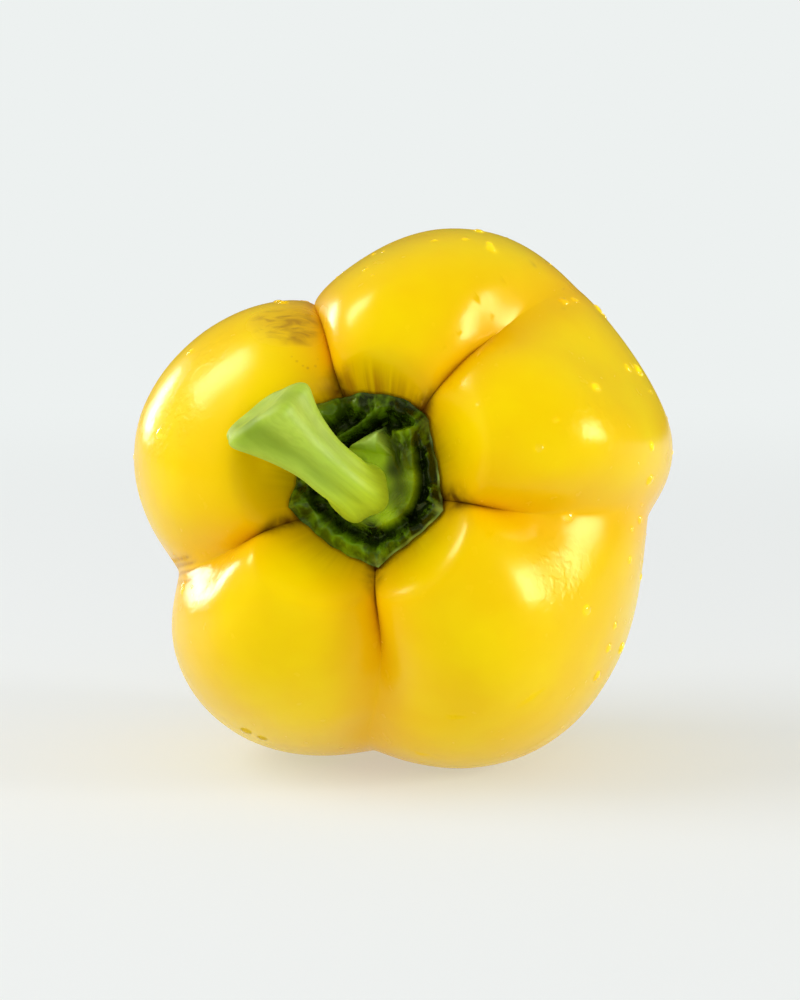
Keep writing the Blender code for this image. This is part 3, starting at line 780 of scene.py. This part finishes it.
def ripePepperSkin():
    names = ("line", "mouth", "valley", "basin", "wrinkle", "scar", "freckles", "wet")
    finish, tree, shader, trait = startFinish("ripePepperSkin", skinLook["sockets"], names)
    place = addNode(tree, "TexCoord").outputs["Object"]
    ray = addNode(tree, "Attribute", {"attribute_name": "ray"}).outputs["Vector"]

    # broad patches of riper and paler skin
    mottle = addNode(tree, "TexNoise", {"Scale": 1.0 / skinLook["mottle"], "Detail": 3.0}, {"Vector": place})
    patches = addNode(tree, "MapRange", {"From Min": 0.38, "From Max": 0.62}, {"Value": mottle})
    ends = {"data_type": "RGBA", 6: linear(skinLook["bright"]), 7: linear(skinLook["golden"])}
    colour = addNode(tree, "Mix", ends, {0: patches}).outputs[2]
    # painted shade: a deeper gold down in the furrows, and a darker line along their bottom, partly browner
    # skin
    deep = addNode(tree, "Math", {"operation": "MULTIPLY", 1: skinLook["valleyShare"]}, {0: trait["valley"]})
    broken = addNode(tree, "TexNoise", {"Scale": 1.0 / skinLook["broken"], "Detail": 2.0}, {"Vector": place})
    patchy = addNode(tree, "MapRange", {"From Min": 0.3, "From Max": 0.6, "To Min": 0.45}, {"Value": broken})
    creaseLineShade = addNode(tree, "Math", {"operation": "MULTIPLY"}, {0: trait["line"], 1: patchy})
    creaseLineShade = addNode(tree, "Math", {"operation": "MULTIPLY", 1: skinLook["lineShare"]}, {0: creaseLineShade})
    # painted shade, over some brown skin, where each furrow runs in under the calyx
    dark = addNode(tree, "Math", {"operation": "MULTIPLY"}, {0: trait["mouth"], 1: patchy})
    # streaks that run out from under the calyx
    wide = addNode(tree, "Mapping", {"Scale": (9.0, 9.0, 1.6)}, {"Vector": ray})
    streak = addNode(tree, "TexNoise", {"Scale": 1.6, "Detail": 4.0}, {"Vector": wide})
    strong = {"From Min": 0.40, "From Max": 0.66, "To Max": 0.75}
    streaky = addNode(tree, "MapRange", strong, {"Value": streak})
    streaky = addNode(tree, "Math", {"operation": "MULTIPLY"}, {0: streaky, 1: trait["basin"]})
    creased = {"operation": "MULTIPLY", 1: skinLook["creaseShare"]}
    faint = addNode(tree, "Math", creased, {0: trait["wrinkle"]})
    # cork: brown smears over pale, dry skin
    long = addNode(tree, "Mapping", {"Scale": (0.55, 1.0, 1.5)}, {"Vector": place})
    smeared = {"Scale": 1.0 / skinLook["smear"], "Detail": 4.0, "Distortion": 0.9}
    smears = addNode(tree, "TexNoise", smeared, {"Vector": long})
    net = addNode(tree, "MapRange", {"From Min": 0.46, "From Max": 0.70, "To Max": 0.75}, {"Value": smears})
    torn = addNode(tree, "MapRange", {"From Min": 0.25, "From Max": 0.7}, {"Value": trait["scar"]})
    corky = addNode(tree, "Math", {"operation": "MULTIPLY"}, {0: net, 1: torn})
    dull = addNode(tree, "Math", {"operation": "MULTIPLY", 1: skinLook["corkPaleShare"]}, {0: torn})
    # small brown specks
    dots = addNode(tree, "TexVoronoi", {"Scale": 1.0 / skinLook["speck"]}, {"Vector": place})
    specks = addNode(tree, "MapRange", {"From Min": 0.24, "From Max": 0.12}, {"Value": dots})
    specks = addNode(tree, "Math", {"operation": "MULTIPLY"}, {0: specks, 1: trait["freckles"]})
    layers = (
        (deep, "valley"),
        (creaseLineShade, "line"),
        (dark, "mouth"),
        (streaky, "basin"),
        (faint, "crease"),
        (dull, "corkPale"),
        (corky, "cork"),
        (specks, "line"),
    )
    colour = paintOver(tree, colour, skinLook, layers)
    tree.links.new(colour, shader.inputs["Base Color"])

    # gloss is a little uneven, and dull on cork
    least, most = (skinLook["roughness"] + change for change in skinLook["roughnessSpread"])
    uneven = addNode(tree, "MapRange", {"To Min": least, "To Max": most}, {"Value": broken})
    dulled = {"operation": "MULTIPLY_ADD", 1: skinLook["corkRoughness"]}
    rough = addNode(tree, "Math", dulled, {0: torn, 2: uneven})
    tree.links.new(rough.outputs[0], shader.inputs["Roughness"])
    grain = addNode(tree, "TexNoise", {"Scale": 1.0 / skinLook["grain"], "Detail": 2.0}, {"Vector": place})
    soft = addNode(tree, "TexNoise", {"Scale": 1.0 / skinLook["soft"], "Detail": 1.0}, {"Vector": place})
    # a film of rinsing water stands in beads where the light catches it
    beads = addNode(tree, "TexNoise", {"Scale": 1.0 / skinLook["bead"], "Detail": 1.5}, {"Vector": place})
    beads = addNode(tree, "MapRange", {"From Min": 0.45, "From Max": 0.62}, {"Value": beads})
    beads = addNode(tree, "Math", {"operation": "MULTIPLY"}, {0: beads, 1: trait["wet"]})
    relief = grain
    for rise, name in ((soft, "softHeight"), (corky, "corkHeight"), (beads, "beadHeight")):
        relief = addNode(tree, "Math", {"operation": "MULTIPLY_ADD", 1: skinLook[name]}, {0: rise, 2: relief})
    bumpy = addNode(tree, "Bump", {"Strength": 1.0, "Distance": skinLook["relief"]}, {"Height": relief})
    tree.links.new(bumpy.outputs[0], shader.inputs["Normal"])
    return finish


# Calyx: thick green leaf tissue, glossy, with a pale, thin, dry edge; its slot, pleats and channel are
# painted near black as shade.
# The eye gets small wet glints on the folds, and a yellower green on the mound; the knob's left face carries
# a painted sheen, and the lip and edge are painted lighter towards the light.
calyxLook = {
    "dark": "#141f00",
    "middle": "#6a900c",
    "mound": "#a6c812",
    # knob is a painted sheen, edge the pale dry edge painted brighter towards the light, groove painted shade
    "knob": "#b2d25a",
    "edge": "#a9c45a",
    "groove": "#0c1603",
    "edgeShare": 0.8,
    "patch": 0.0022,  # sizes of the patterns in metres
    "fine": 0.0005,
    "relief": 0.00009,  # height of the fine relief in metres
    "veinHeight": 3.0,  # and of the veins, as so many times that
    "sockets": {
        "Roughness": 0.25,
        "Specular Tint": "#dff0a8",
        "Subsurface Weight": 0.05,
        "Subsurface Radius": (0.4, 1.0, 0.1),
        "Subsurface Scale": 0.001,
    },
}


def glossyCalyxLeaf():
    names = ("mound", "leaf", "edge", "groove", "knob")
    finish, tree, shader, trait = startFinish("glossyCalyxLeaf", calyxLook["sockets"], names)
    place = addNode(tree, "TexCoord").outputs["Object"]
    ray = addNode(tree, "Attribute", {"attribute_name": "ray"}).outputs["Vector"]
    # patches and veins of lighter leaf
    patch = addNode(tree, "TexNoise", {"Scale": 1.0 / calyxLook["patch"], "Detail": 3.0}, {"Vector": place})
    veins = addNode(tree, "Mapping", {"Scale": (6.0, 6.0, 2.2)}, {"Vector": ray})
    veins = addNode(tree, "TexNoise", {"Scale": 1.4, "Detail": 3.0}, {"Vector": veins})
    streaks = addNode(tree, "Math", {"operation": "ADD"}, {0: patch, 1: veins})
    strong = {"From Min": 0.92, "From Max": 1.22, "To Max": 0.7}
    streaks = addNode(tree, "MapRange", strong, {"Value": streaks})
    clamped = {"operation": "ADD", "use_clamp": True}
    streaks = addNode(tree, "Math", clamped, {0: streaks, 1: trait["leaf"]})
    ends = {"data_type": "RGBA", 6: linear(calyxLook["dark"]), 7: linear(calyxLook["middle"])}
    colour = addNode(tree, "Mix", ends, {0: streaks}).outputs[2]
    raised = addNode(tree, "MapRange", {"From Min": 0.12, "To Max": 0.95}, {"Value": trait["mound"]})
    thin = addNode(tree, "Math", {"operation": "MULTIPLY", 1: calyxLook["edgeShare"]}, {0: trait["edge"]})
    # the knob's painted sheen, painted shade in the grooves, and the pale edge painted brighter towards the
    # light
    layers = ((raised, "mound"), (trait["knob"], "knob"), (trait["groove"], "groove"), (thin, "edge"))
    colour = paintOver(tree, colour, calyxLook, layers)
    tree.links.new(colour, shader.inputs["Base Color"])
    fine = addNode(tree, "TexNoise", {"Scale": 1.0 / calyxLook["fine"], "Detail": 2.0}, {"Vector": place})
    veined = {"operation": "MULTIPLY_ADD", 1: calyxLook["veinHeight"]}
    relief = addNode(tree, "Math", veined, {0: veins, 2: fine})
    bumpy = addNode(tree, "Bump", {"Strength": 1.0, "Distance": calyxLook["relief"]}, {"Height": relief})
    tree.links.new(bumpy.outputs[0], shader.inputs["Normal"])
    return finish


# Stem: fresh fibrous stalk, snapped or cut off, with a satin green rind.
# The eye gets a soft sheen along its fibres, a yellower knee and olive hollows between the ridges, darker
# rind with painted shade in them.
stemLook = {
    "green": "#adcb38",
    "pale": "#b8d044",
    "hollow": "#809c08",
    "knee": "#bcd61e",
    "cut": "#aec62c",
    "cutRing": "#9eb82a",
    "kneeShare": 0.8,
    "hollowShare": 0.85,
    "thread": 0.0007,  # sizes of the patterns in metres
    "streak": 0.0035,
    "relief": 0.00004,
    "sockets": {
        "Roughness": 0.56,
        "Specular IOR Level": 0.35,
        "Subsurface Weight": 0.10,
        "Subsurface Radius": (0.6, 1.0, 0.2),
        "Subsurface Scale": 0.002,
    },
}


def satinPepperStalk():
    names = ("hollow", "knee", "cutFace")
    finish, tree, shader, trait = startFinish("satinPepperStalk", stemLook["sockets"], names)
    grain = addNode(tree, "Attribute", {"attribute_name": "grain"}).outputs["Vector"]
    fibres = addNode(tree, "TexNoise", {"Scale": 1.0 / stemLook["thread"], "Detail": 3.0}, {"Vector": grain})
    broad = addNode(tree, "TexNoise", {"Scale": 1.0 / stemLook["streak"], "Detail": 2.0}, {"Vector": grain})
    streaks = addNode(tree, "MapRange", {"From Min": 0.35, "From Max": 0.68}, {"Value": broad})
    ends = {"data_type": "RGBA", 6: linear(stemLook["green"]), 7: linear(stemLook["pale"])}
    colour = addNode(tree, "Mix", ends, {0: streaks}).outputs[2]
    knee = addNode(tree, "Math", {"operation": "MULTIPLY", 1: stemLook["kneeShare"]}, {0: trait["knee"]})
    thread = addNode(tree, "MapRange", {"From Min": 0.4, "From Max": 0.62, "To Max": 0.2}, {"Value": fibres})
    colour = paintOver(tree, colour, stemLook, ((knee, "knee"), (thread, "hollow")))
    ends = {"data_type": "RGBA", 6: linear(stemLook["cut"]), 7: linear(stemLook["cutRing"])}
    cut = addNode(tree, "Mix", ends, {0: streaks}).outputs[2]
    colour = addNode(tree, "Mix", {"data_type": "RGBA"}, {0: trait["cutFace"], 6: colour, 7: cut}).outputs[2]
    # the hollows darken: partly olive rind, partly painted shade
    sunken = {"operation": "MULTIPLY", 1: stemLook["hollowShare"]}
    hollow = addNode(tree, "Math", sunken, {0: trait["hollow"]})
    colour = paintOver(tree, colour, stemLook, ((hollow, "hollow"),))
    tree.links.new(colour, shader.inputs["Base Color"])
    bumpy = addNode(tree, "Bump", {"Strength": 1.0, "Distance": stemLook["relief"]}, {"Height": fibres})
    tree.links.new(bumpy.outputs[0], shader.inputs["Normal"])
    return finish


skinPiece = addPiece("pepperSkin", fruitShape, ripePepperSkin(), fruitTraits)
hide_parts("fruit")
calyxPiece = addPiece("calyxLeaf", calyxShape, glossyCalyxLeaf(), calyxTraits)
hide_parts("calyx")
stalkPiece = addPiece("cutStalk", stemShape, satinPepperStalk(), stemTraits)
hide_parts("stem")
print("pieces dressed")

# Water drops left from a rinse: the ones that the photograph shows, then a scatter over the far sides
drops = {
    "seen": (  # pixel across, pixel down, radius in metres
        (596, 387, 0.0011), (638, 370, 0.0013), (539, 448, 0.0008), (568, 517, 0.0012), (587, 610, 0.0012),
        (621, 648, 0.0012), (650, 480, 0.0011), (652, 446, 0.0010), (628, 368, 0.0010), (609, 648, 0.0010),
        (597, 676, 0.0011), (160, 433, 0.0011), (190, 352, 0.0009), (184, 585, 0.0010), (246, 731, 0.0012),
        (262, 738, 0.0010), (556, 420, 0.0006), (640, 520, 0.0009), (630, 560, 0.0008), (575, 300, 0.0009),
    ),
    "scattered": 90,
    "smallest": 0.0004,
    "largest": 0.0012,
    "flatness": 0.42,  # height as a share of the radius
    "sunk": 0.00008,
    "seed": 7,
}


def addDrop(shape, at, normal, radius, chance):
    made = bmesh.ops.create_uvsphere(shape, u_segments=10, v_segments=6, radius=1.0)["verts"]
    turn = normal.to_track_quat("Z", "Y").to_matrix().to_4x4()
    wide = radius * chance.uniform(0.85, 1.15)
    scale = Matrix.Diagonal((wide, radius, radius * drops["flatness"], 1.0))
    spun = Matrix.Rotation(chance.uniform(0.0, math.pi), 4, "Z")
    for vert in made:  # a dome: the lower half is drawn in under the skin
        if vert.co.z < 0.0:
            vert.co.z *= 0.25
    lift = Matrix.Translation(at - normal * drops["sunk"])
    bmesh.ops.transform(shape, matrix=lift @ turn @ spun @ scale, verts=made)


def makeDrops():
    chance = random.Random(drops["seed"])
    shape = bmesh.new()
    for x, y, radius in drops["seen"]:
        at, normal = laidSkin.ray_cast(cameraPlace, throughPixel(x, y))[:2]
        if at:
            addDrop(shape, at, normal, radius, chance)
    middle = (cadLow + cadHigh) / 2.0
    placed = 0
    while placed < drops["scattered"]:
        way = backward(chance.uniform(0.0, 360.0), chance.uniform(-25.0, 75.0))
        size = drops["smallest"] + (drops["largest"] - drops["smallest"]) * chance.random() ** 2.5
        at, normal = laidSkin.ray_cast(middle + way * 0.2, -way)[:2]
        if at is None or at.z < 0.004 or normal.dot((cameraPlace - at).normalized()) > 0.45:
            continue
        addDrop(shape, at, normal, size, chance)
        placed += 1
    return shape


def clearWater():
    # water at rest: the eye gets a bright rim and a glint, and the skin magnified under each drop
    look = {"Base Color": "#ffffff", "Roughness": 0.02, "IOR": 1.333, "Transmission Weight": 1.0}
    return startFinish("clearWater", look, ())[0]


dropShape = makeDrops()
bmesh.ops.recalc_face_normals(dropShape, faces=dropShape.faces)
dropPiece = addPiece("waterDrops", dropShape, clearWater(), {})
dropPiece.visible_shadow = False  # light passes through to the skin under a drop
print("drops set:", len(drops["seen"]) + drops["scattered"])

# Studio: a pale floor that fades into the backdrop, two soft windows, and cards that only gloss sees
studio = {
    "backdrop": "#edf1f0",
    "floor": {"Base Color": "#f1f3f2", "Roughness": 0.9, "Specular IOR Level": 0.1},
    "floorSize": 6.0,
    "floorDrop": 0.0002,
    "fadeFrom": 0.12,
    "fadeTo": 0.75,
    "nearGlow": 0.45,  # share of the floor that glows right under the pepper, to keep its shadow pale
    "behind": 0.16,  # brightness of the surroundings that light the pepper
    "front": 1.14,
    "overhead": 0.60,
    "mirrored": 0.40,  # how much of that the gloss shows
    "lights": (  # name, azimuth, elevation, watts, size in metres, and what takes its light
        ("leftWindow", -74.0, 34.0, 5.6, (0.9, 0.9), "matt"),
        ("rightWindow", 84.0, 15.0, 3.5, (0.22, 0.34), "all"),
        ("leftCard", -92.0, 46.0, 5.0, (0.22, 0.42), "gloss"),
        ("backCard", -125.0, 14.0, 3.0, (0.20, 0.35), "gloss"),
        ("rightCard", 90.0, 16.0, 8.0, (0.34, 0.44), "gloss"),
    ),
}


def makeRoom():
    # the camera sees the backdrop's colour alone, the pepper sees a room that is bright in front
    world = bpy.data.worlds.new("studioRoom")
    bpy.context.scene.world = world
    world.use_nodes = True
    tree = world.node_tree
    way = addNode(tree, "TexCoord").outputs["Generated"]
    parts = addNode(tree, "SeparateXYZ", None, {0: way})
    depth = {"From Min": -1.0, "From Max": 1.0, "To Min": studio["front"], "To Max": studio["behind"]}
    level = addNode(tree, "MapRange", depth, {"Value": parts.outputs["Y"]})
    high = addNode(tree, "MapRange", None, {"Value": parts.outputs["Z"]})
    level = addNode(tree, "Mix", {3: studio["overhead"]}, {0: high, 2: level})
    paths = addNode(tree, "LightPath")
    dimmed = {"To Min": 1.0, "To Max": studio["mirrored"]}
    dim = addNode(tree, "MapRange", dimmed, {"Value": paths.outputs["Is Glossy Ray"]})
    level = addNode(tree, "Math", {"operation": "MULTIPLY"}, {0: level, 1: dim})
    colour = paintOver(tree, level.outputs[0], studio, ((paths.outputs["Is Camera Ray"], "backdrop"),))
    tree.links.new(colour, tree.nodes["Background"].inputs["Color"])


def makeFloor():
    # a white board, painted matt, that glows as well: partly right under the pepper so that its shadow stays
    # pale, wholly where it fades into the backdrop
    shape = bmesh.new()
    bmesh.ops.create_grid(shape, x_segments=2, y_segments=2, size=studio["floorSize"] / 2.0)
    mesh = bpy.data.meshes.new("paleFloor")
    shape.to_mesh(mesh)
    floor = bpy.data.objects.new("paleFloor", mesh)
    floor.location.z = -studio["floorDrop"]
    bpy.context.scene.collection.objects.link(floor)
    finish, tree, shader, trait = startFinish("mattBoardWithGlow", studio["floor"], ())
    place = addNode(tree, "TexCoord").outputs["Object"]
    far = addNode(tree, "VectorMath", {"operation": "LENGTH"}, {0: place}).outputs["Value"]
    fading = {
        "interpolation_type": "SMOOTHSTEP",
        "From Min": studio["fadeFrom"],
        "From Max": studio["fadeTo"],
        "To Min": studio["nearGlow"],
    }
    fade = addNode(tree, "MapRange", fading, {"Value": far})
    glow = addNode(tree, "Emission", {"Color": linear(studio["backdrop"])})
    both = addNode(tree, "MixShader", None, {0: fade, 1: shader, 2: glow})
    tree.links.new(both.outputs[0], tree.nodes["Material Output"].inputs["Surface"])
    mesh.materials.append(finish)


def makeLights():
    for name, azimuth, elevation, watts, size, takenBy in studio["lights"]:
        lamp = bpy.data.lights.new(name, "AREA")
        lamp.energy = watts
        lamp.shape = "RECTANGLE"
        lamp.size, lamp.size_y = size
        way = backward(azimuth, elevation)
        fitting = bpy.data.objects.new(name, lamp)
        fitting.location = aim + way
        fitting.rotation_mode = "QUATERNION"
        fitting.rotation_quaternion = way.to_track_quat("Z", "Y")
        fitting.visible_diffuse = takenBy != "gloss"
        fitting.visible_glossy = takenBy != "matt"
        bpy.context.scene.collection.objects.link(fitting)


makeRoom()
makeFloor()
makeLights()
bpy.context.scene.view_settings.view_transform = "Standard"
print("studio lit")
